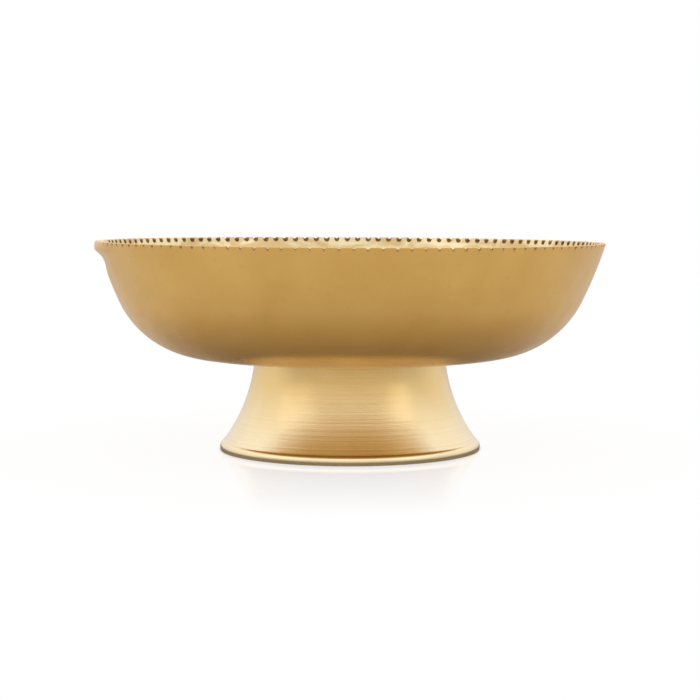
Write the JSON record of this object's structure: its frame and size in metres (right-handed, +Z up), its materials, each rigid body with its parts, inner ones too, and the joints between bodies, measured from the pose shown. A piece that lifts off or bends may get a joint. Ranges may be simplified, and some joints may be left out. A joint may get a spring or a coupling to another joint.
{
  "type": "brass urli bowl",
  "caption": "Shallow round brass bowl with a notched rim and a small pouring lip, on a flared hollow foot, for floating flowers or tea lights.",
  "frame": {"origin": "centre of the foot's resting face, on the floor", "axes": "+Z up the bowl's axis; the pouring lip points towards -X, and -Y is the front"},
  "size_m": [0.3056, 0.3046, 0.1252],
  "materials": {
    "bowl_brass": "satin, cast and hand-finished",
    "foot_brass": "lathe-turned and polished",
    "fastener_steel": "zinc-plated"
  },
  "bodies": {
    "root": {"bowl": "bowl_brass", "foot": "foot_brass", "clamp_screw": "fastener_steel", "spring_washer": "fastener_steel", "plain_washer": "fastener_steel"}
  },
  "joints": []
}
